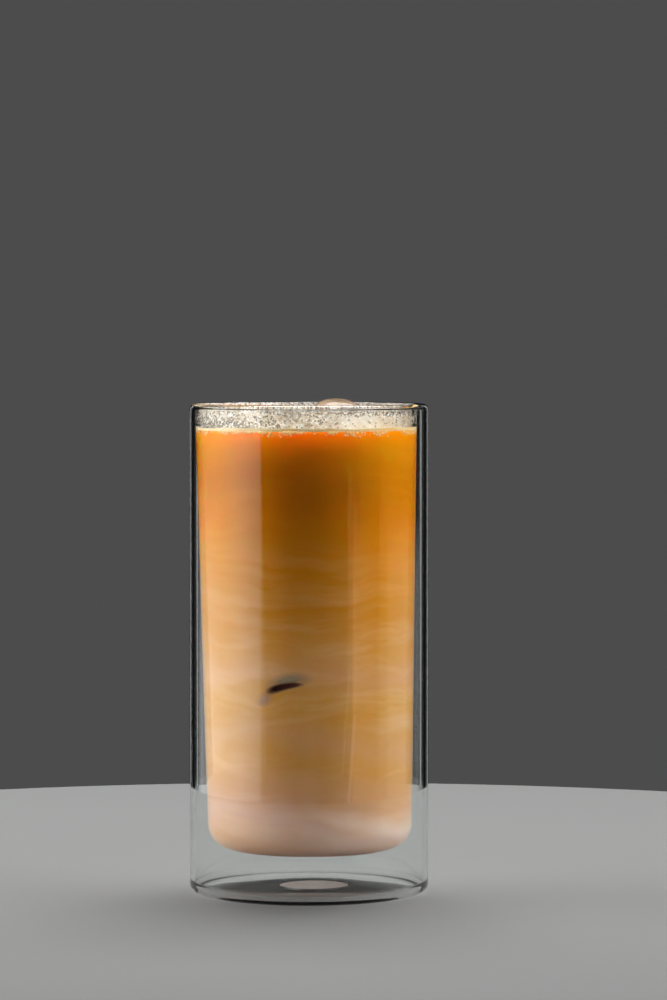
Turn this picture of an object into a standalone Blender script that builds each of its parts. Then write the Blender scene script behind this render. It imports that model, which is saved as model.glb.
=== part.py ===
"""Iced latte in a straight double-walled glass tumbler, for Blender 4.5. Metres, +Z up.

The origin is the centre of the glass's foot, on the surface that it stands on, and the shown side faces -Y.
"""

import math

import bmesh
import bpy
from mathutils import Euler, Matrix, Vector

# The outer glass
GLASS_HEIGHT = 0.143
OUTER_RADIUS = 0.035
OUTER_WALL = 0.0015
FOOT_CORNER = 0.0025
FOOT_FLAT_INNER = 0.0278
BASE_WALL = 0.0014
BASE_INNER_CORNER = 0.0025

# The shallow dome under the base, which keeps the vent's seal off the table
DOME_RISE = 0.0005
DOME_FLAT_RADIUS = 0.0115
VENT_RADIUS = 0.0103
VENT_OFFSET = 0.0014

# The inner cup, melted to the outer glass at a round rim
CUP_WALL = 0.00125
CUP_BOTTOM = 0.0128
CUP_RADIUS_LOW = 0.0298
CUP_RADIUS_HIGH = 0.0324
CUP_CORNER = 0.0074
CUP_FLOOR_RISE = 0.0006
AIR_TOP = 0.1416

# The cup was melted in slightly askew: its axis leans to -X as it rises
LEAN_LOW = 0.00028
LEAN_HIGH = -0.00094

# What the cup holds, from the bottom up
GAP = 0.0003
MILK_TOP = 0.0240
MILK_TOP_SLOPE = -0.095
LATTE_TOP = 0.1005
LATTE_TOP_SLOPE = -0.115
COFFEE_TOP = 0.1342
DRINK_LEVEL = 0.1357

# Melted cubes of ice, packed so tight that they stand up out of the drink: (side, centre, turn in degrees)
ICE_CORNER = 0.0065
ICE = (
    ((0.0160, 0.0190, 0.0215), (0.0082, -0.0098, 0.1336), (5, -1.5, 8)),
    ((0.0185, 0.0195, 0.0195), (-0.0158, -0.0015, 0.1305), (-6, 6, -14)),
    ((0.0200, 0.0185, 0.0185), (0.0086, 0.0144, 0.1292), (7, 8, 16)),
)

# The cloudy silicone disc that is pressed into the vent and closes it, with its top a little below the base's
SEAL_FOOT = 0.0003
SEAL_SUNK = 0.0002
SEAL_ROUND = 0.0003

GLASS_SEGMENTS = 60
DRINK_SEGMENTS = 44


def clear_scene():
    for obj in list(bpy.data.objects):
        bpy.data.objects.remove(obj, do_unlink=True)


def material(name, color, roughness, transmission=0.0, ior=1.45):
    made = bpy.data.materials.new(name)
    made.use_nodes = True
    shader = made.node_tree.nodes["Principled BSDF"]
    shader.inputs["Base Color"].default_value = (*color, 1.0)
    shader.inputs["Roughness"].default_value = roughness
    shader.inputs["Metallic"].default_value = 0.0
    shader.inputs["Transmission Weight"].default_value = transmission
    shader.inputs["IOR"].default_value = ior
    return made


def arc(center, radius, start, end, steps):
    """Points (r, z) along an arc, with its angles in degrees."""
    turns = [math.radians(start + (end - start) * i / steps) for i in range(steps + 1)]
    return [(center[0] + radius * math.cos(t), center[1] + radius * math.sin(t)) for t in turns]


def link(obj, collection):
    collection.objects.link(obj)
    return obj


def turned(name, profile, segments, collection, look):
    """A round piece turned about Z from a profile (r, z) that starts and ends on the axis, top first."""
    mesh = bpy.data.meshes.new(name)
    mesh.from_pydata([(r, 0.0, z) for r, z in profile], [(i, i + 1) for i in range(len(profile) - 1)], [])
    obj = link(bpy.data.objects.new(name, mesh), collection)
    screw = obj.modifiers.new("Turn", "SCREW")
    screw.steps = screw.render_steps = segments
    screw.use_merge_vertices = True
    screw.merge_threshold = 0.00001
    screw.use_smooth_shade = True
    bpy.context.view_layer.update()
    solid = bpy.data.meshes.new_from_object(obj.evaluated_get(bpy.context.evaluated_depsgraph_get()))
    solid.name = name
    obj.modifiers.clear()
    obj.data = solid
    bpy.data.meshes.remove(mesh)
    solid.materials.clear()
    solid.materials.append(look)
    solid.shade_smooth()
    solid.set_sharp_from_angle(angle=math.radians(40))
    return obj


def cup_radius(z):
    """The inner cup's outer radius."""
    share = (z - CUP_BOTTOM) / (AIR_TOP - CUP_BOTTOM)
    return CUP_RADIUS_LOW + (CUP_RADIUS_HIGH - CUP_RADIUS_LOW) * share


def lean(z):
    """How far along X the cup's axis stands at this height."""
    share = (z - CUP_BOTTOM) / (GLASS_HEIGHT - CUP_BOTTOM)
    return LEAN_LOW + (LEAN_HIGH - LEAN_LOW) * share


def dome(r):
    """The height of the base's underside."""
    share = (r - DOME_FLAT_RADIUS) / (FOOT_FLAT_INNER - DOME_FLAT_RADIUS)
    return DOME_RISE * 0.5 * (1 + math.cos(math.pi * min(max(share, 0.0), 1.0)))


def dome_run():
    """Radii from the foot's flat ring in to the dome's flat middle."""
    steps = 7
    return [FOOT_FLAT_INNER + (DOME_FLAT_RADIUS - FOOT_FLAT_INNER) * i / steps for i in range(steps + 1)]


def cup_hollow(inset):
    """The inside of the cup, from its floor's middle to the mouth, moved in by inset."""
    corner = CUP_CORNER - CUP_WALL - inset
    low = CUP_BOTTOM + CUP_FLOOR_RISE + CUP_WALL + inset
    turn_z = CUP_BOTTOM + CUP_WALL + inset + corner
    side = cup_radius(turn_z) - CUP_WALL - inset
    floor = [(0.0, low), (0.009, low - 0.1 * CUP_FLOOR_RISE), (0.018, low - 0.6 * CUP_FLOOR_RISE)]
    return floor + arc((side - corner, turn_z), corner, -90, 0, 6)


def glass_profile():
    mouth_z = AIR_TOP - 0.0012
    mouth_r = cup_radius(mouth_z) - CUP_WALL
    rim_r = (OUTER_RADIUS - mouth_r) / 2
    rim_mid = (OUTER_RADIUS + mouth_r) / 2
    air_outer = OUTER_RADIUS - OUTER_WALL
    air_inner = cup_radius(mouth_z)
    air_r = (air_outer - air_inner) / 2
    corner_z = CUP_BOTTOM + CUP_CORNER

    drink_side = cup_hollow(0.0)
    rim = arc((rim_mid, GLASS_HEIGHT - rim_r), rim_r, 180, 0, 10)
    foot = arc((OUTER_RADIUS - FOOT_CORNER, FOOT_CORNER), FOOT_CORNER, 0, -90, 5)
    underside = [(r, dome(r)) for r in dome_run()] + [(VENT_RADIUS, DOME_RISE)]
    base_top = [(VENT_RADIUS, DOME_RISE + BASE_WALL)] + [(r, dome(r) + BASE_WALL) for r in reversed(dome_run())]
    inner_foot = arc((air_outer - BASE_INNER_CORNER, BASE_WALL + BASE_INNER_CORNER), BASE_INNER_CORNER, -90, 0, 5)
    air_top = arc(((air_outer + air_inner) / 2, AIR_TOP - air_r), air_r, 0, 180, 4)
    cup_corner = arc((cup_radius(corner_z) - CUP_CORNER, corner_z), CUP_CORNER, 0, -90, 6)
    cup_floor = [
        (0.018, CUP_BOTTOM + 0.4 * CUP_FLOOR_RISE),
        (0.009, CUP_BOTTOM + 0.9 * CUP_FLOOR_RISE),
        (0.0, CUP_BOTTOM + CUP_FLOOR_RISE),
    ]
    return drink_side + rim + foot + underside + base_top + inner_foot + air_top + cup_corner + cup_floor


def lean_cup(obj):
    """Moves the cup sideways by its lean, fading out across the rim, and leaves the outer glass upright."""
    air_outer = OUTER_RADIUS - OUTER_WALL
    for vertex in obj.data.vertices:
        r = math.hypot(vertex.co.x, vertex.co.y)
        if vertex.co.z > CUP_BOTTOM - GAP and r < air_outer - GAP:
            share = (air_outer - GAP - r) / (air_outer - GAP - CUP_RADIUS_HIGH)
            vertex.co.x += lean(vertex.co.z) * min(share, 1.0)


def shift_vent(obj):
    """Moves the dome and its vent sideways, fading out towards the foot's flat ring."""
    for vertex in obj.data.vertices:
        r = math.hypot(vertex.co.x, vertex.co.y)
        if vertex.co.z < DOME_RISE + BASE_WALL + GAP and r < FOOT_FLAT_INNER:
            share = (FOOT_FLAT_INNER - r) / (FOOT_FLAT_INNER - DOME_FLAT_RADIUS)
            vertex.co.x += VENT_OFFSET * min(share, 1.0)


def lean_whole(obj):
    for vertex in obj.data.vertices:
        vertex.co.x += lean(vertex.co.z)


def make_glass(collection):
    look = material("borosilicate glass", (0.95, 0.97, 0.96), 0.02, transmission=1.0, ior=1.47)
    glass = turned("glass", glass_profile(), GLASS_SEGMENTS, collection, look)
    lean_cup(glass)
    shift_vent(glass)


def make_vent_seal(collection):
    look = material("cloudy silicone", (0.80, 0.78, 0.76), 0.35, transmission=0.3, ior=1.41)
    side = VENT_RADIUS - GAP
    top = DOME_RISE + BASE_WALL - SEAL_SUNK
    profile = [(0.0, top), (side - SEAL_ROUND, top), (side, top - SEAL_ROUND)]
    profile += [(side, SEAL_FOOT + SEAL_ROUND), (side - SEAL_ROUND, SEAL_FOOT), (0.0, SEAL_FOOT)]
    seal = turned("vent_seal", profile, 32, collection, look)
    for vertex in seal.data.vertices:
        vertex.co.x += VENT_OFFSET


def milk_top(x, y):
    """The uneven height where the milk ends and the mixed latte starts."""
    return MILK_TOP + MILK_TOP_SLOPE * x + 0.0007 * math.sin(190 * x + 60 * y) * math.cos(120 * y)


def latte_top(x, y):
    """The uneven height where the mixed latte ends and the coffee starts."""
    return LATTE_TOP + LATTE_TOP_SLOPE * x + 0.0011 * math.sin(150 * x - 90 * y + 0.8)


def wavy_slab(name, low, high, cutters):
    """A cutter as wide as the glass, between two heights that are functions of x and y."""
    bm = bmesh.new()
    bmesh.ops.create_grid(bm, x_segments=14, y_segments=14, size=OUTER_RADIUS)
    base = list(bm.verts)
    raised = bmesh.ops.extrude_face_region(bm, geom=list(bm.faces))
    tops = [v for v in raised["geom"] if isinstance(v, bmesh.types.BMVert)]
    for v in base:
        v.co.z = low(v.co.x, v.co.y)
    for v in tops:
        v.co.z = high(v.co.x, v.co.y)
    bmesh.ops.recalc_face_normals(bm, faces=list(bm.faces))
    mesh = bpy.data.meshes.new(name)
    bm.to_mesh(mesh)
    bm.free()
    return as_cutter(link(bpy.data.objects.new(name, mesh), cutters))


def as_cutter(obj):
    obj.hide_render = True
    obj.display_type = "WIRE"
    return obj


def boolean(obj, operation, other):
    cut = obj.modifiers.new(operation.title(), "BOOLEAN")
    cut.operation = operation
    cut.solver = "EXACT"
    cut.object = other


def rounded_block(name, sides, corner, place, turn, collection, steps):
    """A block with round edges, turned and placed by its matrix."""
    bm = bmesh.new()
    bmesh.ops.create_cube(bm, size=1.0, matrix=Matrix.Diagonal((*sides, 1.0)))
    mesh = bpy.data.meshes.new(name)
    bm.to_mesh(mesh)
    bm.free()
    obj = link(bpy.data.objects.new(name, mesh), collection)
    obj.location = place
    obj.rotation_euler = Euler([math.radians(angle) for angle in turn])
    bevel = obj.modifiers.new("Melted edges", "BEVEL")
    bevel.width = corner
    bevel.segments = steps
    bevel.limit_method = "NONE"
    mesh.shade_smooth()
    return obj


def make_ice(collection, cutters):
    """The cubes, and for each a pocket that its neighbours are cut with."""
    look = material("ice", (0.86, 0.90, 0.92), 0.08, transmission=0.9, ior=1.31)
    pockets = []
    for number, (sides, place, turn) in enumerate(ICE, start=1):
        cube = rounded_block(f"ice_{number}", sides, ICE_CORNER, place, turn, collection, 4)
        cube.data.materials.append(look)
        wide = Vector(sides) + Vector((2 * GAP, 2 * GAP, 2 * GAP))
        pocket = rounded_block(f"ice_pocket_{number}", wide, ICE_CORNER + GAP, place, turn, cutters, 4)
        pockets.append(as_cutter(pocket))
    return pockets


def make_drink(collection, cutters, pockets):
    """Milk, mixed latte and coffee: each is the cup's hollow between two uneven heights."""
    wall = cup_hollow(GAP)
    top_r = cup_radius(COFFEE_TOP) - CUP_WALL - GAP
    body = list(reversed(wall + [(top_r, COFFEE_TOP), (0.0, COFFEE_TOP)]))
    layers = (
        ("milk_layer", (0.62, 0.42, 0.30), lambda x, y: 0.0, lambda x, y: milk_top(x, y) - GAP / 2),
        (
            "latte_layer",
            (0.45, 0.22, 0.07),
            lambda x, y: milk_top(x, y) + GAP / 2,
            lambda x, y: latte_top(x, y) - GAP / 2,
        ),
        ("coffee_layer", (0.30, 0.09, 0.01), lambda x, y: latte_top(x, y) + GAP / 2, lambda x, y: GLASS_HEIGHT),
    )
    for name, color, low, high in layers:
        layer = turned(name, body, DRINK_SEGMENTS, collection, material(name.replace("_", " "), color, 0.3))
        lean_whole(layer)
        boolean(layer, "INTERSECT", wavy_slab(name + "_slab", low, high, cutters))
        if name == "coffee_layer":
            for pocket in pockets:
                boolean(layer, "DIFFERENCE", pocket)


def make_foam(collection, pockets):
    """The thin froth on top, drawn up a little where it wets the glass."""
    low = COFFEE_TOP + GAP
    meniscus = 0.0006
    edge = cup_radius(DRINK_LEVEL) - CUP_WALL - GAP
    profile = [(0.0, DRINK_LEVEL), (edge - 0.003, DRINK_LEVEL), (edge - 0.001, DRINK_LEVEL + 0.3 * meniscus)]
    profile += [(edge, DRINK_LEVEL + meniscus), (edge, low), (0.0, low)]
    foam = turned("foam", profile, DRINK_SEGMENTS, collection, material("milk foam", (0.80, 0.62, 0.38), 0.6))
    lean_whole(foam)
    for pocket in pockets:
        boolean(foam, "DIFFERENCE", pocket)


def main():
    clear_scene()
    parts = bpy.data.collections.new("iced_latte")
    cutters = bpy.data.collections.new("cutters")
    bpy.context.scene.collection.children.link(parts)
    bpy.context.scene.collection.children.link(cutters)
    make_glass(parts)
    make_vent_seal(parts)
    pockets = make_ice(parts, cutters)
    make_drink(parts, cutters, pockets)
    make_foam(parts, pockets)


main()
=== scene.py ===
import math
import random

import bmesh
import bpy
from mathutils import Euler, Matrix, Vector


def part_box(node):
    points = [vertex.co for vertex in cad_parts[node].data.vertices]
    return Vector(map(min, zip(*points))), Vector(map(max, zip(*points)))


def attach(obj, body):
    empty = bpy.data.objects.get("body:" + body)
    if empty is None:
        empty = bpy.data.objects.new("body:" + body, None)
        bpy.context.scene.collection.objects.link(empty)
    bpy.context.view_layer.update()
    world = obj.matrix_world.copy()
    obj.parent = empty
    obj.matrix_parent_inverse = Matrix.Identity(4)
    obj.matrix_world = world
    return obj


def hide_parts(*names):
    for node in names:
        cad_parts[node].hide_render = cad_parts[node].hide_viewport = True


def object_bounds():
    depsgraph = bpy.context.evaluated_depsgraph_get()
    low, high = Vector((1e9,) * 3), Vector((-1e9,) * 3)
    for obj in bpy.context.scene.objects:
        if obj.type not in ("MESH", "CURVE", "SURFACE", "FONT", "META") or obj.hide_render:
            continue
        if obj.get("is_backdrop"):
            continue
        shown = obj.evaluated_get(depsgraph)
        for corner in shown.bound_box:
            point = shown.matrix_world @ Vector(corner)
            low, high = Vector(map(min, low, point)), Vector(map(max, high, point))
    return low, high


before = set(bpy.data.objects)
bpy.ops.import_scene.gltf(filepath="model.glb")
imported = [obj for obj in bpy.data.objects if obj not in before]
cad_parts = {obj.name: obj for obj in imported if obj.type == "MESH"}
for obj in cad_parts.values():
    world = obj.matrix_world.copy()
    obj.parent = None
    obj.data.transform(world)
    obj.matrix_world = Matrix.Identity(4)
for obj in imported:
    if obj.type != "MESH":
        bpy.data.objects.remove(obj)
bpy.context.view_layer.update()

# Glass: a blown borosilicate tumbler with a second, tapered cup melted into it at a round rim. Still air lies
# between the two walls, and the foot is a flat ring round a shallow dome with a vent hole in its middle.
_, glass_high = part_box("glass")
GLASS_TOP = glass_high.z
OUTER_R = glass_high.x
OUTER_WALL = 0.0015
FOOT_CORNER = 0.0025
FOOT_FLAT_IN = 0.0278
BASE_WALL = 0.0014
BASE_CORNER_IN = 0.0025
DOME_RISE = 0.0005
DOME_FLAT_R = 0.0115
VENT_R = 0.0103
VENT_OFFSET = 0.0014
CUP_WALL = 0.00125
CUP_BOTTOM = 0.0128
CUP_R_LOW = 0.0298
CUP_R_HIGH = 0.0324
CUP_CORNER = 0.0074
CUP_FLOOR_RISE = 0.0006
AIR_TOP = 0.1416
LEAN_LOW = 0.00028
LEAN_HIGH = -0.00094


def cup_radius(z):
    return CUP_R_LOW + (CUP_R_HIGH - CUP_R_LOW) * (z - CUP_BOTTOM) / (AIR_TOP - CUP_BOTTOM)


def lean(z):
    return LEAN_LOW + (LEAN_HIGH - LEAN_LOW) * (z - CUP_BOTTOM) / (GLASS_TOP - CUP_BOTTOM)


def dome(r):
    share = min(max((r - DOME_FLAT_R) / (FOOT_FLAT_IN - DOME_FLAT_R), 0.0), 1.0)
    return DOME_RISE * 0.5 * (1 + math.cos(math.pi * share))


def arc(center, radius, start, end, steps):
    turns = [math.radians(start + (end - start) * i / steps) for i in range(steps + 1)]
    return [(center[0] + radius * math.cos(t), center[1] + radius * math.sin(t)) for t in turns]


def run(first, last, steps):
    """Evenly spaced numbers from first to last."""
    return [first + (last - first) * i / steps for i in range(steps + 1)]


def wall(radius_at, first, last, steps):
    """Points up or down a wall. A row just off each end keeps the corner's shading out of the wall."""
    off = math.copysign(0.0002, last - first)
    return [(radius_at(z), z) for z in [first + off] + run(first, last, steps)[1:-1] + [last - off]]


def finish_piece(name, bm, look, smooth_angle=50):
    mesh = bpy.data.meshes.new(name)
    bm.to_mesh(mesh)
    bm.free()
    mesh.materials.append(look)
    mesh.shade_smooth()
    mesh.set_sharp_from_angle(angle=math.radians(smooth_angle))
    piece = bpy.data.objects.new(name, mesh)
    bpy.context.collection.objects.link(piece)
    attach(piece, "root")
    return piece


def turn_profile(profile, segments):
    """A bmesh turned about Z from points (r, z) that start and end on the axis, or meet in a ring."""
    bm = bmesh.new()
    points = [bm.verts.new((r, 0.0, z)) for r, z in profile]
    edges = [bm.edges.new(pair) for pair in zip(points, points[1:])]
    bmesh.ops.spin(
        bm, geom=points + edges, cent=(0, 0, 0), axis=(0, 0, 1), angle=math.tau, steps=segments,
        use_merge=True,
    )
    bmesh.ops.remove_doubles(bm, verts=list(bm.verts), dist=0.000001)
    bmesh.ops.recalc_face_normals(bm, faces=list(bm.faces))
    return bm


def cup_hollow(inset):
    """The inside of the cup from its floor's middle to the side, moved in by inset."""
    corner = CUP_CORNER - CUP_WALL - inset
    low = CUP_BOTTOM + CUP_WALL + inset
    side = cup_radius(low + corner) - CUP_WALL - inset
    floor = [(r, low + CUP_FLOOR_RISE * math.cos(0.5 * math.pi * r / (side - corner)) ** 2) for r in
             run(0.0, side - corner, 8)]
    return floor[:-1] + arc((side - corner, low + corner), corner, -90, 0, 12)


def paint(code):
    """An sRGB hex colour as linear RGBA."""
    parts = [int(code[i:i + 2], 16) / 255 for i in (1, 3, 5)]
    return tuple(c / 12.92 if c <= 0.04045 else ((c + 0.055) / 1.055) ** 2.4 for c in parts) + (1.0,)


def add(tree, kind, settings=None, links=None, **properties):
    """Adds a node: properties are its own, settings are its inputs' values and links what feeds them."""
    node = tree.nodes.new(kind)
    for key, value in properties.items():
        setattr(node, key, value)
    for key, value in (settings or {}).items():
        node.inputs[key].default_value = value
    for key, output in (links or {}).items():
        tree.links.new(output, node.inputs[key])
    return node


def new_material(name, **settings):
    """A material with one Principled shader: its name's words say what is real about it."""
    look = bpy.data.materials.new(name)
    look.use_nodes = True
    shader = look.node_tree.nodes["Principled BSDF"]
    for key, value in settings.items():
        shader.inputs[key.replace("_", " ")].default_value = value
    return look, look.node_tree, shader


# Borosilicate: almost colourless, drawn and flame-worked, so its skin is perfectly smooth
borosilicate, tree, shader = new_material(
    "borosilicate glass, flame-worked", Base_Color=paint("#FBFDFC"), Roughness=0.0, IOR=1.47,
    Transmission_Weight=1.0,
)

mouth_z = AIR_TOP - 0.0012
mouth_r = cup_radius(mouth_z) - CUP_WALL
rim_r = (OUTER_R - mouth_r) / 2
air_out = OUTER_R - OUTER_WALL
air_in = cup_radius(mouth_z)
air_r = (air_out - air_in) / 2
rim_z = GLASS_TOP - rim_r
air_z = AIR_TOP - air_r
corner_z = CUP_BOTTOM + CUP_CORNER
corner_r = cup_radius(corner_z)
floor_r = corner_r - CUP_CORNER
profile = cup_hollow(0.0)
profile += wall(lambda z: cup_radius(z) - CUP_WALL, corner_z, rim_z, 9)
profile += arc(((OUTER_R + mouth_r) / 2, rim_z), rim_r, 180, 0, 28)
profile += wall(lambda z: OUTER_R, rim_z, FOOT_CORNER, 9)
profile += arc((OUTER_R - FOOT_CORNER, FOOT_CORNER), FOOT_CORNER, 0, -90, 14)
dome_radii = [OUTER_R - FOOT_CORNER - 0.0003] + run(FOOT_FLAT_IN, DOME_FLAT_R, 16)
profile += [(r, dome(r)) for r in dome_radii] + [(VENT_R, DOME_RISE)]
dome_radii[0] = air_out - BASE_CORNER_IN - 0.0003
profile += [(VENT_R, DOME_RISE + BASE_WALL)] + [(r, dome(r) + BASE_WALL) for r in reversed(dome_radii)]
profile += arc((air_out - BASE_CORNER_IN, BASE_WALL + BASE_CORNER_IN), BASE_CORNER_IN, -90, 0, 14)
profile += wall(lambda z: air_out, BASE_WALL + BASE_CORNER_IN, air_z, 7)
profile += arc(((air_out + air_in) / 2, air_z), air_r, 0, 180, 16)
profile += wall(cup_radius, air_z, corner_z, 7)
profile += arc((floor_r, corner_z), CUP_CORNER, 0, -90, 18)
profile += [(r, CUP_BOTTOM + CUP_FLOOR_RISE * math.cos(0.5 * math.pi * r / floor_r) ** 2)
            for r in [floor_r - 0.0003] + run(floor_r, 0.0, 8)[1:]]
bm = turn_profile(profile, 180)
lean_edge = air_out - 0.0003
for v in bm.verts:
    r = math.hypot(v.co.x, v.co.y)
    if v.co.z > CUP_BOTTOM - 0.0003 and r < lean_edge:
        v.co.x += lean(v.co.z) * min((lean_edge - r) / (lean_edge - CUP_R_HIGH), 1.0)
    elif v.co.z < DOME_RISE + BASE_WALL + 0.0003 and r < FOOT_FLAT_IN:
        v.co.x += VENT_OFFSET * min((FOOT_FLAT_IN - r) / (FOOT_FLAT_IN - DOME_FLAT_R), 1.0)
glass = finish_piece("tumbler", bm, borosilicate)
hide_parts("glass")
# Shadow rays pass, so that the studio light reaches the drink through both walls as it really does
glass.visible_shadow = False

# Vent seal: a moulded disc of cloudy silicone, pressed into the hole through which the air between the walls
# was evened out. It ends a little below the base's upper face and clear of the floor.
silicone, tree, shader = new_material(
    "cloudy silicone, moulded", Base_Color=paint("#F2E9E4"), Roughness=0.4, IOR=1.41,
    Transmission_Weight=0.15,
)
place = add(tree, "ShaderNodeTexCoord").outputs["Object"]
haze = add(tree, "ShaderNodeTexNoise", {"Scale": 260.0, "Detail": 3.0}, {"Vector": place})
cloudy = add(tree, "ShaderNodeMix", {"A": paint("#D9CCC6"), "B": paint("#FAF3EE")},
             {"Factor": haze.outputs["Fac"]}, data_type="RGBA")
tree.links.new(cloudy.outputs["Result"], shader.inputs["Base Color"])
seal_low, seal_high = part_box("vent_seal")
SEAL_ROUND = 0.0003
seal_r = (seal_high.x - seal_low.x) / 2
profile = [(0.0, seal_high.z)] + arc((seal_r - SEAL_ROUND, seal_high.z - SEAL_ROUND), SEAL_ROUND, 90, 0, 5)
profile += arc((seal_r - SEAL_ROUND, seal_low.z + SEAL_ROUND), SEAL_ROUND, 0, -90, 5) + [(0.0, seal_low.z)]
bm = turn_profile(profile, 96)
bmesh.ops.translate(bm, verts=list(bm.verts), vec=(VENT_OFFSET, 0.0, 0.0))
seal = finish_piece("vent_plug", bm, silicone)
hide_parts("vent_seal")

# Drink: espresso poured over cold milk and ice, so the cup's whole hollow is one cloudy liquid that goes from
# pale milk on the floor to amber coffee at the top. It wets the wall, so it reaches just into the glass.
WET = 0.00015
FOAM_LEVEL = 0.1357
DRINK_TOP = FOAM_LEVEL - 0.0002
bm = turn_profile(
    cup_hollow(-WET)
    + wall(lambda z: cup_radius(z) - CUP_WALL + WET, corner_z, DRINK_TOP, 30)
    + [(r, DRINK_TOP) for r in run(cup_radius(DRINK_TOP) - CUP_WALL + WET, 0.0, 12)],
    144,
)
for v in bm.verts:
    v.co.x += lean(v.co.z)

latte_liquid, tree, shader = new_material(
    "milk and espresso, poured in layers", Roughness=0.35, IOR=1.34, Specular_IOR_Level=0.0,
    Subsurface_Weight=1.0, Subsurface_Scale=0.016,
)
place = add(tree, "ShaderNodeTexCoord").outputs["Object"]
split = add(tree, "ShaderNodeSeparateXYZ", None, {"Vector": place})
# The layers tilt by some 6 mm over the width of the glass, and slow currents bend them
LAYER_TILT = 0.09
CURRENT_DRIFT = 0.024
current = add(tree, "ShaderNodeTexNoise", {"Scale": 26.0, "Detail": 3.0, "Roughness": 0.5},
              {"Vector": place})
tilt = add(tree, "ShaderNodeMath", {1: LAYER_TILT}, {0: split.outputs["X"], 2: split.outputs["Z"]},
           operation="MULTIPLY_ADD")
drift = add(tree, "ShaderNodeMath", {1: CURRENT_DRIFT},
            {0: current.outputs["Fac"], 2: tilt.outputs["Value"]}, operation="MULTIPLY_ADD")
height = add(tree, "ShaderNodeMapRange", {"From Min": 0.012, "From Max": DRINK_TOP + 0.012},
             {"Value": drift.outputs["Value"]})
# Light travels far in milk, and only a little in coffee, which soaks up blue and green
reach = add(tree, "ShaderNodeMapRange", {"From Min": 0.40, "From Max": 0.80},
            {"Value": height.outputs["Result"]}, interpolation_type="SMOOTHSTEP")
spread = add(tree, "ShaderNodeMix", None, {"Factor": reach.outputs["Result"]}, data_type="RGBA")
spread.inputs["A"].default_value = (1.0, 0.8, 0.6, 1.0)
spread.inputs["B"].default_value = (0.6, 0.1, 0.03, 1.0)
tree.links.new(spread.outputs["Result"], shader.inputs["Subsurface Radius"])
ramp = add(tree, "ShaderNodeValToRGB", None, {"Fac": height.outputs["Result"]})
stops = (
    (0.10, "#E4B694"), (0.16, "#E2C2B2"), (0.20, "#DAAE86"), (0.25, "#D9AC74"), (0.29, "#D9A95E"),
    (0.33, "#DAAE78"), (0.38, "#D9A958"), (0.43, "#DAAA56"), (0.48, "#DCAE78"), (0.53, "#DBA858"),
    (0.62, "#DB9F2C"), (0.71, "#E3A216"), (0.80, "#E99E05"), (0.90, "#E29502"), (1.0, "#E9A601"),
)
while len(ramp.color_ramp.elements) < len(stops):
    ramp.color_ramp.elements.new(1.0)
for element, (position, code) in zip(ramp.color_ramp.elements, stops):
    element.position = position
    element.color = paint(code)
# Wisps of milk: soft level streaks some 45 mm long and 6 mm thick, bent by the same currents
level = add(tree, "ShaderNodeMapping", {"Scale": (22.0, 22.0, 170.0), "Rotation": (0.0, 0.12, 0.0)},
            {"Vector": place})
bent = add(tree, "ShaderNodeVectorMath", {1: (0.0, 0.0, 3.2)}, {0: current.outputs["Color"]},
           operation="MULTIPLY")
wavy = add(tree, "ShaderNodeVectorMath", None, {0: level.outputs["Vector"], 1: bent.outputs["Vector"]},
           operation="ADD")
wisp = add(tree, "ShaderNodeTexNoise", {"Scale": 1.0, "Detail": 5.0, "Roughness": 0.62},
           {"Vector": wavy.outputs["Vector"]})
streak = add(tree, "ShaderNodeMapRange", {"From Min": 0.46, "From Max": 0.74, "To Max": 0.50},
             {"Value": wisp.outputs["Fac"]})
# In the coffee the wisps are amber, and in the milk below they are cream
amber = add(tree, "ShaderNodeMapRange", {"From Min": 0.55, "From Max": 0.78},
            {"Value": height.outputs["Result"]})
wisp_tint = add(tree, "ShaderNodeMix", None, {"Factor": amber.outputs["Result"]}, data_type="RGBA")
wisp_tint.inputs["A"].default_value = paint("#EFD3B4")
wisp_tint.inputs["B"].default_value = paint("#F2AE22")
milky = add(tree, "ShaderNodeMix", None, {"Factor": streak.outputs["Result"]}, data_type="RGBA")
tree.links.new(wisp_tint.outputs["Result"], milky.inputs["B"])
tree.links.new(ramp.outputs["Color"], milky.inputs["A"])
# One broad pale wisp sinks to the right, near the floor of the cup
BROAD_WISP_SLOPE = 0.26
BROAD_WISP_DRIFT = 0.012
slant = add(tree, "ShaderNodeMath", {1: BROAD_WISP_SLOPE},
            {0: split.outputs["X"], 2: split.outputs["Z"]}, operation="MULTIPLY_ADD")
slant = add(tree, "ShaderNodeMath", {1: BROAD_WISP_DRIFT},
            {0: current.outputs["Fac"], 2: slant.outputs["Value"]}, operation="MULTIPLY_ADD")
lower_edge = add(tree, "ShaderNodeMapRange", {"From Min": 0.0300, "From Max": 0.0322},
                 {"Value": slant.outputs["Value"]})
upper_edge = add(tree, "ShaderNodeMapRange", {"From Min": 0.0362, "From Max": 0.0330},
                 {"Value": slant.outputs["Value"]})
sideways = add(tree, "ShaderNodeMapRange", {"From Min": -0.003, "From Max": 0.008, "To Max": 0.40},
               {"Value": split.outputs["X"]})
broad = add(tree, "ShaderNodeMath", None, {0: lower_edge.outputs["Result"], 1: upper_edge.outputs["Result"]},
            operation="MULTIPLY")
broad = add(tree, "ShaderNodeMath", None, {0: broad.outputs["Value"], 1: sideways.outputs["Result"]},
            operation="MULTIPLY")
swirled = add(tree, "ShaderNodeMix", None, {"Factor": broad.outputs["Value"], "A": milky.outputs["Result"]},
              data_type="RGBA")
swirled.inputs["B"].default_value = paint("#F7E8DF")
tree.links.new(swirled.outputs["Result"], shader.inputs["Base Color"])
drink = finish_piece("drink", bm, latte_liquid)
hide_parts("milk_layer", "latte_layer", "coffee_layer")

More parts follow.
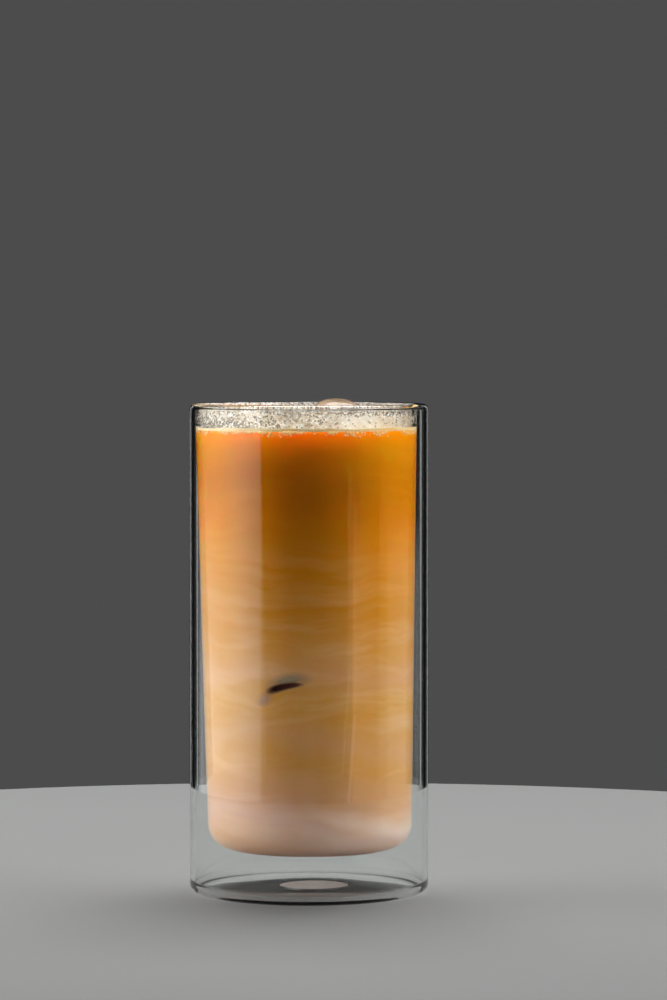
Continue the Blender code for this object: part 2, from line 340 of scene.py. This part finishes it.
# Ice: cubes that have begun to melt, so their edges are round. Packed ice that can't be seen holds them up
# out of the drink, and the froth that ran off them has left a film of coffee.
ICE_ROUND = 0.0065
ice_turns = {"ice_1": (5, -1.5, 8), "ice_2": (-6, 6, -14), "ice_3": (7, 8, 16)}
ice_sides = {
    "ice_1": (0.0160, 0.0190, 0.0215),
    "ice_2": (0.0185, 0.0195, 0.0195),
    "ice_3": (0.0200, 0.0185, 0.0185),
}


def cube_mesh(node, grow=0.0):
    """A melted cube where its CAD node is: a bevelled block, finely divided, with its place in its mesh."""
    sides = Vector(ice_sides[node]) + Vector((2 * grow,) * 3)
    low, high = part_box(node)
    bm = bmesh.new()
    bmesh.ops.create_cube(bm, size=1.0, matrix=Matrix.Diagonal((*sides, 1.0)))
    bmesh.ops.bevel(
        bm, geom=list(bm.edges), offset=ICE_ROUND + grow, segments=6, profile=0.5, affect="EDGES",
        material=-1,
    )
    bmesh.ops.subdivide_edges(
        bm, edges=[e for e in bm.edges if e.calc_length() > 0.006], cuts=7, use_grid_fill=True
    )
    turn = Euler([math.radians(a) for a in ice_turns[node]]).to_matrix().to_4x4()
    bmesh.ops.transform(bm, matrix=Matrix.Translation((low + high) / 2) @ turn, verts=list(bm.verts))
    return bm


wet_ice, tree, shader = new_material(
    "melting ice with a film of coffee", Roughness=0.06, IOR=1.31, Transmission_Weight=1.0,
)
place = add(tree, "ShaderNodeTexCoord").outputs["Object"]
cloud = add(tree, "ShaderNodeTexNoise", {"Scale": 160.0, "Detail": 5.0, "Roughness": 0.6}, {"Vector": place})
film = add(tree, "ShaderNodeMapRange", {"From Min": 0.42, "From Max": 0.62, "To Min": 0.20, "To Max": 0.75},
           {"Value": cloud.outputs["Fac"]})
tint = add(tree, "ShaderNodeMix", {"A": paint("#D9B084"), "B": paint("#F3E8D6")},
           {"Factor": film.outputs["Result"]}, data_type="RGBA")
tree.links.new(tint.outputs["Result"], shader.inputs["Base Color"])
tree.links.new(film.outputs["Result"], shader.inputs["Transmission Weight"])
ripple = add(tree, "ShaderNodeTexNoise", {"Scale": 90.0, "Detail": 2.0}, {"Vector": place})
dent = add(tree, "ShaderNodeBump", {"Strength": 0.4, "Distance": 0.001}, {"Height": ripple.outputs["Fac"]})
tree.links.new(dent.outputs["Normal"], shader.inputs["Normal"])
pockets = []
for node in ice_sides:
    cube = finish_piece("melting_" + node, cube_mesh(node), wet_ice, smooth_angle=80)
    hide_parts(node)
    pocket_mesh = bpy.data.meshes.new("pocket_" + node)
    cutter = cube_mesh(node, grow=-0.0001)
    cutter.to_mesh(pocket_mesh)
    cutter.free()
    pocket = bpy.data.objects.new("pocket_" + node, pocket_mesh)
    bpy.context.collection.objects.link(pocket)
    pockets.append(pocket)

# Froth: the fine foam of shaken milk and coffee that floats on top. It is drawn up where it wets the glass,
# and its skin is uneven with small bubbles.
foam_low, foam_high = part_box("foam")
FOAM_RISE = 0.0006
FOAM_RISE_WIDE = 0.003
FOAM_UNDERSIDE = DRINK_TOP - 0.0001
edge_r = cup_radius(FOAM_LEVEL) - CUP_WALL + WET
flat_r = edge_r - FOAM_RISE_WIDE
profile = [(r, FOAM_LEVEL) for r in run(0.0, flat_r, 56)]
profile += [(r, FOAM_LEVEL + FOAM_RISE * ((r - flat_r) / FOAM_RISE_WIDE) ** 2)
            for r in run(edge_r - 0.0025, edge_r, 6)]
profile += [(r, FOAM_UNDERSIDE) for r in [edge_r] + run(edge_r - 0.001, 0.0, 12)]
bm = turn_profile(profile, 220)
random.seed(11)
swells = [(random.uniform(0, math.tau), random.uniform(180, 900), random.uniform(0, math.tau))
          for _ in range(9)]
for v in bm.verts:
    if v.co.z > FOAM_LEVEL - 0.0001:
        heave = sum(math.sin(k * (v.co.x * math.cos(a) + v.co.y * math.sin(a)) + p) for a, k, p in swells)
        v.co.z += 0.00005 * heave
    v.co.x += lean(v.co.z)
froth, tree, shader = new_material(
    "milk froth with coffee oils", Roughness=0.45, IOR=1.34, Specular_IOR_Level=0.3,
    Subsurface_Weight=0.5, Subsurface_Radius=(1.0, 0.9, 0.75), Subsurface_Scale=0.0005,
)
place = add(tree, "ShaderNodeTexCoord").outputs["Object"]
patch = add(tree, "ShaderNodeTexNoise", {"Scale": 130.0, "Detail": 5.0, "Roughness": 0.6},
            {"Vector": place})
cells = add(tree, "ShaderNodeTexVoronoi", {"Scale": 900.0, "Randomness": 1.0}, {"Vector": place})
blend = add(tree, "ShaderNodeMapRange", {"From Min": 0.35, "From Max": 0.65},
            {"Value": patch.outputs["Fac"]})
tone = add(tree, "ShaderNodeMix", None, {"Factor": blend.outputs["Result"]}, data_type="RGBA")
tone.inputs["A"].default_value = paint("#F4CF90")
tone.inputs["B"].default_value = paint("#FFF2D2")
tree.links.new(tone.outputs["Result"], shader.inputs["Base Color"])
skin = add(tree, "ShaderNodeBump", {"Strength": 0.5, "Distance": 0.0004},
           {"Height": cells.outputs["Distance"]})
tree.links.new(skin.outputs["Normal"], shader.inputs["Normal"])
foam = finish_piece("froth", bm, froth, smooth_angle=60)
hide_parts("foam")
for piece in (drink, foam):
    for pocket in pockets:
        cut = piece.modifiers.new("Pocket", "BOOLEAN")
        cut.operation = "DIFFERENCE"
        cut.solver = "EXACT"
        cut.object = pocket
    bpy.context.view_layer.update()
    solid = bpy.data.meshes.new_from_object(piece.evaluated_get(bpy.context.evaluated_depsgraph_get()))
    solid.name = piece.name
    piece.modifiers.clear()
    piece.data = solid
for pocket in pockets:
    bpy.data.objects.remove(pocket, do_unlink=True)
foam.visible_shadow = False

# Bubbles: single bubbles of froth caught between the foam and the wall, in clusters along the waterline.
# Their skins are thin milk and coffee, so they glow amber.
random.seed(5)


def on_wall(angle, z, inset):
    r = cup_radius(z) - CUP_WALL - inset
    return Vector((r * math.cos(angle) + lean(z), r * math.sin(angle), z))


def scatter(name, places, look):
    """One piece of small balls: places holds a matrix for each. Made in batches, which is much faster."""
    whole = bmesh.new()
    for first in range(0, len(places), 40):
        batch = bmesh.new()
        for matrix in places[first:first + 40]:
            bmesh.ops.create_icosphere(batch, subdivisions=2, radius=1.0, matrix=matrix)
        mesh = bpy.data.meshes.new("batch")
        batch.to_mesh(mesh)
        batch.free()
        whole.from_mesh(mesh)
        bpy.data.meshes.remove(mesh)
    return finish_piece(name, whole, look, smooth_angle=180)


bubble_skin, tree, shader = new_material(
    "froth bubbles", Base_Color=paint("#FFE09E"), Roughness=0.22, IOR=1.34, Transmission_Weight=0.15,
)
places = []
clusters = [(random.uniform(0, math.tau), random.uniform(0.02, 0.10), random.uniform(0.3, 1.0))
            for _ in range(84)]
for center, spread, depth_scale in clusters:
    for _ in range(random.randint(6, 14)):
        size = random.uniform(0.00016, 0.00046)
        depth = abs(random.gauss(0, 0.0008)) * depth_scale
        spot = on_wall(random.gauss(center, spread), FOAM_LEVEL - depth - size, -0.00010)
        places.append(Matrix.Translation(spot) @ Matrix.Diagonal((size, size, size, 1.0)))
bubbles = scatter("waterline_bubbles", places, bubble_skin)
bubbles.visible_shadow = False

# Film: milk and fine froth that the shaken drink left on the bare glass above it, up over the inside of the
# rim, broken by drops of water and of coffee. It is smoother on the right, and more speckled on the left.
# Its speckles are the drops' glints, painted on it as dark and white spots.
FILM_OFF, FILM_THICK = 0.00003, 0.00006
outline = [(cup_radius(z) - CUP_WALL - FILM_OFF, z) for z in run(FOAM_LEVEL + 0.0001, mouth_z, 8)]
outline += arc((mouth_r + rim_r, rim_z), rim_r + FILM_OFF, 180, 116, 8)
outline += [(r - FILM_THICK, z) for r, z in reversed(outline)]
bm = turn_profile(outline + outline[:1], 180)
for v in bm.verts:
    v.co.x += lean(v.co.z)
milk_film, tree, shader = new_material(
    "dried milk film with painted drop glints", Roughness=0.5, IOR=1.35, Specular_IOR_Level=0.2,
    Subsurface_Weight=1.0, Subsurface_Radius=(1.0, 0.95, 0.9), Subsurface_Scale=0.0007,
)
place = add(tree, "ShaderNodeTexCoord").outputs["Object"]
split = add(tree, "ShaderNodeSeparateXYZ", None, {"Vector": place})
patchy = add(tree, "ShaderNodeTexNoise", {"Scale": 140.0, "Detail": 5.0, "Roughness": 0.65},
             {"Vector": place})
cover = add(tree, "ShaderNodeMapRange",
            {"From Min": 0.35, "From Max": 0.60, "To Min": 0.50, "To Max": 0.96},
            {"Value": patchy.outputs["Fac"]})
tree.links.new(cover.outputs["Result"], shader.inputs["Alpha"])
cream = add(tree, "ShaderNodeMix", None, {"Factor": cover.outputs["Result"]}, data_type="RGBA")
cream.inputs["A"].default_value = paint("#CBA67C")
cream.inputs["B"].default_value = paint("#E8D8C4")
# Drops some 0.5 mm apart, painted as spots: a dark one is a painted reflection of the unlit room,
# a white one a painted highlight of a lamp. They crowd just above the drink on the left, and under the
# rim on the right.
painted_glint_cells = add(tree, "ShaderNodeTexVoronoi", {"Scale": 1900.0, "Randomness": 1.0}, {"Vector": place})
kind = add(tree, "ShaderNodeSeparateColor", None, {"Color": painted_glint_cells.outputs["Color"]})
crowd_left = add(tree, "ShaderNodeMapRange",
                 {"From Min": 0.1368, "From Max": 0.1402, "To Min": 0.88, "To Max": 0.35},
                 {"Value": split.outputs["Z"]})
crowd_right = add(tree, "ShaderNodeMapRange",
                  {"From Min": 0.1392, "From Max": 0.1406, "To Min": 0.08, "To Max": 0.95},
                  {"Value": split.outputs["Z"]})
rightward = add(tree, "ShaderNodeMapRange", {"From Min": -0.018, "From Max": 0.011},
                {"Value": split.outputs["X"]})
speckled = add(tree, "ShaderNodeMix", None,
               {"Factor": rightward.outputs["Result"], "A": crowd_left.outputs["Result"],
                "B": crowd_right.outputs["Result"]})
spot = add(tree, "ShaderNodeMapRange", {"From Min": 0.75, "From Max": 0.45},
           {"Value": painted_glint_cells.outputs["Distance"]})
film_with_painted_glints = cream
# White spots are painted highlights, and dark ones painted reflections of the unlit room
for channel, code in (("Green", "#FFFFFF"), ("Red", "#3A332C")):
    chosen = add(tree, "ShaderNodeMath", None, {0: kind.outputs[channel], 1: speckled.outputs["Result"]},
                 operation="LESS_THAN")
    share = add(tree, "ShaderNodeMath", None, {0: chosen.outputs["Value"], 1: spot.outputs["Result"]},
                operation="MULTIPLY")
    mixed = add(tree, "ShaderNodeMix", None, {"Factor": share.outputs["Value"], "A": film_with_painted_glints.outputs["Result"]},
                data_type="RGBA")
    mixed.inputs["B"].default_value = paint(code)
    film_with_painted_glints = mixed
tree.links.new(film_with_painted_glints.outputs["Result"], shader.inputs["Base Color"])
film = finish_piece("wall_film", bm, milk_film, smooth_angle=60)
film.visible_shadow = False

# Droplets: water that condensed and coffee that splashed on the bare glass above the drink. Each clings to the
# wall as a flattened bead, most of them a little taller than wide.
random.seed(8)
droplet_water, tree, shader = new_material(
    "droplets of water and thin coffee", Base_Color=paint("#FFFFFF"), Roughness=0.0, IOR=1.33,
    Transmission_Weight=1.0,
)
places = []
for _ in range(1700):
    angle = random.uniform(0, math.tau)
    z = random.triangular(FOAM_LEVEL + 0.0006, GLASS_TOP - 0.0016, FOAM_LEVEL + 0.003)
    size = random.uniform(0.00010, 0.00032) * random.choice((1.0, 1.0, 1.5))
    stretch = Matrix.Diagonal((0.5 * size, size, size * random.uniform(0.9, 1.4), 1.0))
    places.append(Matrix.Translation(on_wall(angle, z, 0.00005)) @ Matrix.Rotation(angle, 4, "Z") @ stretch)
droplets = scatter("wall_droplets", places, droplet_water)
droplets.visible_shadow = False

# Sunk ice: the edge of a cube deep in the drink that leans on the wall. It is clear, and the unlit
# middle of the drink that shows through it is painted on it as dark shade. The milk round it is thin
# enough to look grey.
SUNK_Z, SUNK_X = 0.0626, -0.0069
SUNK_HALF_LENGTH, SUNK_HALF_HEIGHT = 0.0105, 0.0062
SUNK_RISE, SUNK_BEND = 0.0023, 0.0017
bm = bmesh.new()
bmesh.ops.create_uvsphere(bm, u_segments=48, v_segments=24, radius=1.0)
sunk_angle = math.asin((SUNK_X - lean(SUNK_Z)) / (cup_radius(SUNK_Z) - CUP_WALL)) - 0.5 * math.pi
sunk_shape = bm.verts.layers.float_vector.new("sunk_place")
for v in bm.verts:
    along, depth, up = v.co
    v[sunk_shape] = (along, 0.0, up)
    angle = sunk_angle + along * SUNK_HALF_LENGTH / cup_radius(SUNK_Z)
    z = SUNK_Z + up * SUNK_HALF_HEIGHT + SUNK_RISE * along - SUNK_BEND * along * along
    v.co = on_wall(angle, z, 0.0001 + 0.0006 * depth)
ice_with_painted_shade, tree, shader = new_material(
    "clear ice with the drink's unlit middle painted as shade", Roughness=0.5, IOR=1.31, Specular_IOR_Level=0.0,
)
shape = add(tree, "ShaderNodeAttribute", attribute_name="sunk_place").outputs["Vector"]
axes = add(tree, "ShaderNodeSeparateXYZ", None, {"Vector": shape})
# The edge is blunt on the left and runs out thin on the right
narrowing = add(tree, "ShaderNodeMath", {1: 3.5, 2: 5.0}, {0: axes.outputs["X"]},
                operation="MULTIPLY_ADD")
across = add(tree, "ShaderNodeMath", None, {0: axes.outputs["Z"], 1: narrowing.outputs["Value"]},
             operation="MULTIPLY")
across = add(tree, "ShaderNodeMath", None, {0: across.outputs["Value"], 1: across.outputs["Value"]},
             operation="MULTIPLY")
lengthwise = add(tree, "ShaderNodeMath", {1: 1.8}, {0: axes.outputs["X"]}, operation="MULTIPLY")
lengthwise = add(tree, "ShaderNodeMath", None, {0: lengthwise.outputs["Value"]}, operation="ABSOLUTE")
lengthwise = add(tree, "ShaderNodeMath", {1: 3.0}, {0: lengthwise.outputs["Value"]}, operation="POWER")
core_far = add(tree, "ShaderNodeMath", None, {0: across.outputs["Value"], 1: lengthwise.outputs["Value"]},
               operation="ADD")
# The dark core is painted shade: the unlit middle of the drink seen through the ice
dark = add(tree, "ShaderNodeMapRange", {"From Min": 1.5, "From Max": 0.1},
           {"Value": core_far.outputs["Value"]}, interpolation_type="SMOOTHSTEP")
# Thin milk lies over it above, and beyond its left end, grey over the painted shade
cover = dark
for place_in_shape, size_in_shape, most in (((0.10, 0.0, 0.24), (0.84, 1.0, 0.46), 0.74),
                                            ((-0.56, 0.0, -0.30), (0.36, 1.0, 0.48), 0.55)):
    local = add(tree, "ShaderNodeVectorMath", {1: place_in_shape}, {0: shape}, operation="SUBTRACT")
    local = add(tree, "ShaderNodeVectorMath", {1: size_in_shape}, {0: local.outputs["Vector"]},
                operation="DIVIDE")
    local = add(tree, "ShaderNodeVectorMath", None, {0: local.outputs["Vector"]}, operation="LENGTH")
    veil = add(tree, "ShaderNodeMapRange", {"From Min": 1.0, "From Max": 0.1, "To Max": most},
               {"Value": local.outputs["Value"]}, interpolation_type="SMOOTHSTEP")
    cover = add(tree, "ShaderNodeMath", None, {0: cover.outputs[0], 1: veil.outputs["Result"]},
                operation="MAXIMUM")
tree.links.new(cover.outputs["Value"], shader.inputs["Alpha"])
# The painted shade is near black on the left and dark red-brown on the right
redder = add(tree, "ShaderNodeMapRange", {"From Min": -0.35, "From Max": 0.45},
             {"Value": axes.outputs["X"]})
painted_shade_tint = add(tree, "ShaderNodeMix", None, {"Factor": redder.outputs["Result"]}, data_type="RGBA")
painted_shade_tint.inputs["A"].default_value = paint("#12060A")
painted_shade_tint.inputs["B"].default_value = paint("#5A2F2A")
greener = add(tree, "ShaderNodeMapRange", {"From Min": -0.5, "From Max": -0.2}, {"Value": axes.outputs["X"]})
veil_tint = add(tree, "ShaderNodeMix", None, {"Factor": greener.outputs["Result"]}, data_type="RGBA")
veil_tint.inputs["A"].default_value = paint("#9C8B92")
veil_tint.inputs["B"].default_value = paint("#7C8474")
painted_shade_under_milk = add(tree, "ShaderNodeMix", None, {"Factor": dark.outputs["Result"]}, data_type="RGBA")
tree.links.new(veil_tint.outputs["Result"], painted_shade_under_milk.inputs["A"])
tree.links.new(painted_shade_tint.outputs["Result"], painted_shade_under_milk.inputs["B"])
tree.links.new(painted_shade_under_milk.outputs["Result"], shader.inputs["Base Color"])
sunk = finish_piece("sunk_ice_edge", bm, ice_with_painted_shade, smooth_angle=180)
sunk.visible_shadow = False

# Floor: a round disc of matt plaster with a softened edge, there only for the picture. It leaves the hair's
# breadth of air under the foot that any real surface leaves.
FLOOR_R = 0.29
bm = bmesh.new()
bmesh.ops.create_cone(bm, cap_ends=True, segments=128, radius1=FLOOR_R, radius2=FLOOR_R, depth=0.02,
                      matrix=Matrix.Translation((0, 0, -0.0101)))
bmesh.ops.bevel(bm, geom=[e for e in bm.edges if e.calc_length() < 0.015], offset=0.001, segments=2,
                profile=0.5, affect="EDGES", material=-1)
plaster, tree, shader = new_material("matt plaster", Base_Color=paint("#909190"), Roughness=0.75)
floor_mesh = bpy.data.meshes.new("floor")
bm.to_mesh(floor_mesh)
bm.free()
floor_mesh.materials.append(plaster)
floor = bpy.data.objects.new("floor", floor_mesh)
bpy.context.collection.objects.link(floor)
floor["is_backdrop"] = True

# Studio: a dark room, soft light from both sides and above, and cards that show only in reflections and
# through the glass.
world = bpy.data.worlds.new("studio")
bpy.context.scene.world = world
world.use_nodes = True
backdrop = world.node_tree.nodes["Background"]
backdrop.inputs["Color"].default_value = paint("#4C4C4D")
path = add(world.node_tree, "ShaderNodeLightPath")
dim = add(world.node_tree, "ShaderNodeMapRange", {"To Min": 1.0, "To Max": 0.15},
          {"Value": path.outputs["Is Glossy Ray"]})
world.node_tree.links.new(dim.outputs["Result"], backdrop.inputs["Strength"])
bpy.context.scene.view_settings.view_transform = "Standard"


def around(azimuth, distance, height):
    """A point round the glass: azimuth 0 is the camera's side, 90 its right and 180 behind the glass."""
    a = math.radians(azimuth)
    return Vector((distance * math.sin(a), -distance * math.cos(a), height))


def area_light(name, azimuth, distance, height, size, radiance):
    """A soft rectangular light that faces the drink."""
    data = bpy.data.lights.new(name, "AREA")
    data.shape = "RECTANGLE"
    data.size, data.size_y = size
    data.energy = radiance * math.pi * size[0] * size[1]
    light = bpy.data.objects.new(name, data)
    bpy.context.collection.objects.link(light)
    light.location = around(azimuth, distance, height)
    light.rotation_mode = "QUATERNION"
    light.rotation_quaternion = (Vector((0, 0, 0.08)) - light.location).to_track_quat("-Z", "Y")
    light.visible_camera = False
    return light


def card(name, azimuths, distance, heights, radiance, soft=(0.0, 0.0), far_y=None, ends_y=None,
         lean_by=0.0, tint="#FFFFFF"):
    """A curved upright card that only reflections and refractions show. soft fades its foot and its head,
    ends_y fades it in between two places on Y, and far_y does so the less the lower it is. lean_by turns
    its head about Z."""
    bm = bmesh.new()
    low_arc = [bm.verts.new(around(azimuth, distance, heights[0])) for azimuth in run(*azimuths, 24)]
    low_edges = [bm.edges.new(pair) for pair in zip(low_arc, low_arc[1:])]
    raised = bmesh.ops.extrude_edge_only(bm, edges=low_edges)["geom"]
    raised = [v for v in raised if isinstance(v, bmesh.types.BMVert)]
    bmesh.ops.translate(bm, verts=raised, vec=(0.0, 0.0, heights[1] - heights[0]))
    bmesh.ops.rotate(bm, verts=raised, cent=(0, 0, 0), matrix=Matrix.Rotation(math.radians(lean_by), 3, "Z"))
    look = bpy.data.materials.new(name)
    look.use_nodes = True
    tree = look.node_tree
    tree.nodes.remove(tree.nodes["Principled BSDF"])
    place = add(tree, "ShaderNodeTexCoord").outputs["Object"]
    split = add(tree, "ShaderNodeSeparateXYZ", None, {"Vector": place})
    fades = [
        add(tree, "ShaderNodeMapRange",
            {"From Min": heights[0], "From Max": heights[0] + soft[0] + 0.001, "To Max": radiance},
            {"Value": split.outputs["Z"]}),
        add(tree, "ShaderNodeMapRange",
            {"From Min": heights[1], "From Max": heights[1] - soft[1] - 0.001},
            {"Value": split.outputs["Z"]}),
    ]
    if far_y:
        least = add(tree, "ShaderNodeMapRange",
                    {"From Min": 0.1, "From Max": 0.0, "To Min": 0.05, "To Max": 0.9},
                    {"Value": split.outputs["Z"]})
        most = add(tree, "ShaderNodeMapRange",
                   {"From Min": 0.05, "From Max": -0.01, "To Min": 1.0, "To Max": 1.35},
                   {"Value": split.outputs["Z"]})
        fades.append(add(tree, "ShaderNodeMapRange", {"From Min": far_y[1], "From Max": far_y[0]},
                         {"Value": split.outputs["Y"], "To Min": least.outputs["Result"],
                          "To Max": most.outputs["Result"]}))
    if ends_y:
        fades.append(add(tree, "ShaderNodeMapRange", {"From Min": ends_y[0], "From Max": ends_y[1]},
                         {"Value": split.outputs["Y"]}))
    power = fades[0]
    for fade in fades[1:]:
        power = add(tree, "ShaderNodeMath", None, {0: power.outputs[0], 1: fade.outputs["Result"]},
                    operation="MULTIPLY")
    glow = add(tree, "ShaderNodeEmission", {"Color": paint(tint)}, {"Strength": power.outputs["Value"]})
    tree.links.new(glow.outputs["Emission"], tree.nodes["Material Output"].inputs["Surface"])
    mesh = bpy.data.meshes.new(name)
    bm.to_mesh(mesh)
    bm.free()
    mesh.materials.append(look)
    piece = bpy.data.objects.new(name, mesh)
    bpy.context.collection.objects.link(piece)
    piece.visible_camera = piece.visible_diffuse = piece.visible_shadow = piece.visible_volume_scatter = False
    piece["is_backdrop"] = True
    return piece


for azimuth, radiance in ((-100.3, 8.3), (90, 6.0)):
    lamp = area_light("side_light", azimuth, 0.8, 0.16, (0.6, 0.5), radiance)
    lamp.visible_glossy = lamp.visible_transmission = False
top = area_light("top_light", 170, 0.30, 0.85, (0.6, 0.5), 8.0)
top.visible_transmission = False
# A low lamp lights the lower half of the front, and a flag keeps its light off the upper half
low = area_light("low_light", 6, 0.6, 0.015, (1.0, 0.05), 6.6)
low.visible_glossy = low.visible_transmission = False
FLAG_FOOT, FLAG_HIGH, FLAG_WIDE = 0.057, 0.3, 1.2
bm = bmesh.new()
bmesh.ops.create_grid(bm, x_segments=1, y_segments=1, size=0.5)
flag_place = Matrix.Translation((0.0, -0.3, FLAG_FOOT + 0.5 * FLAG_HIGH))
flag_place @= Matrix.Rotation(0.5 * math.pi, 4, "X") @ Matrix.Diagonal((FLAG_WIDE, FLAG_HIGH, 1.0, 1.0))
bmesh.ops.transform(bm, matrix=flag_place, verts=list(bm.verts))
flag_mesh = bpy.data.meshes.new("low_flag")
bm.to_mesh(flag_mesh)
bm.free()
flag_cloth, tree, shader = new_material("black felt", Base_Color=paint("#080808"), Roughness=0.9)
flag_mesh.materials.append(flag_cloth)
flag = bpy.data.objects.new("low_flag", flag_mesh)
bpy.context.collection.objects.link(flag)
flag.visible_camera = flag.visible_diffuse = flag.visible_glossy = flag.visible_transmission = False
flag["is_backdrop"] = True
card("left_softbox", (-46.5, -131), 0.8, (-0.5, 0.9), 0.96, soft=(0.25, 0.1), far_y=(-0.45, 0.56),
     ends_y=(-0.856, -0.30))
card("right_bounce", (43.6, 131), 0.8, (-0.5, 0.078), 0.28, soft=(0.1, 0.03))
# A warm card on the right gives a soft step, with a thin bright line along it that bends at its foot
card("warm_bounce", (41.6, 80), 0.79, (-0.5, 0.078), 1.05, soft=(0.1, 0.03), ends_y=(-0.139, -0.55),
     tint="#FFB670")
card("right_slit", (43.6, 45.6), 0.785, (-0.015, 0.090), 1.1, soft=(0.0, 0.05), tint="#FFD8B0")
card("right_slit_foot", (33.5, 35.5), 0.785, (-0.078, -0.015), 1.5, soft=(0.012, 0.0), lean_by=10.1,
     tint="#FFE0C0")
for side in (-1, 1):
    card("back_strip", (side * 162.5, side * 165), 1.0, (-0.4, 0.8), 0.8)
    card("back_flag", (side * 150, side * (172 if side > 0 else 168)), 1.05, (-0.4, 0.8), 0.004)

# Camera: a long lens from over a metre away, a little higher than the top of the glass and looking slightly
# down, with the glass a little left of the middle of the picture.
LONG_SIDE_PX = 1000
FOCAL_PX = 4070
DISTANCE = 1.19
EYE_HEIGHT = 0.163
HORIZON_ABOVE_CENTER_PX = 165
AXIS_LEFT_OF_CENTER_PX = 24.5
camera_data = bpy.data.cameras.new("camera")
camera_data.sensor_width = 36.0
camera_data.lens = 36.0 * FOCAL_PX / LONG_SIDE_PX
camera = bpy.data.objects.new("camera", camera_data)
bpy.context.collection.objects.link(camera)
camera.location = (0.0, -DISTANCE, EYE_HEIGHT)
sight = Vector((AXIS_LEFT_OF_CENTER_PX, FOCAL_PX, -HORIZON_ABOVE_CENTER_PX))
camera.rotation_mode = "QUATERNION"
camera.rotation_quaternion = sight.to_track_quat("-Z", "Y")
bpy.context.scene.camera = camera

low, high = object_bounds()
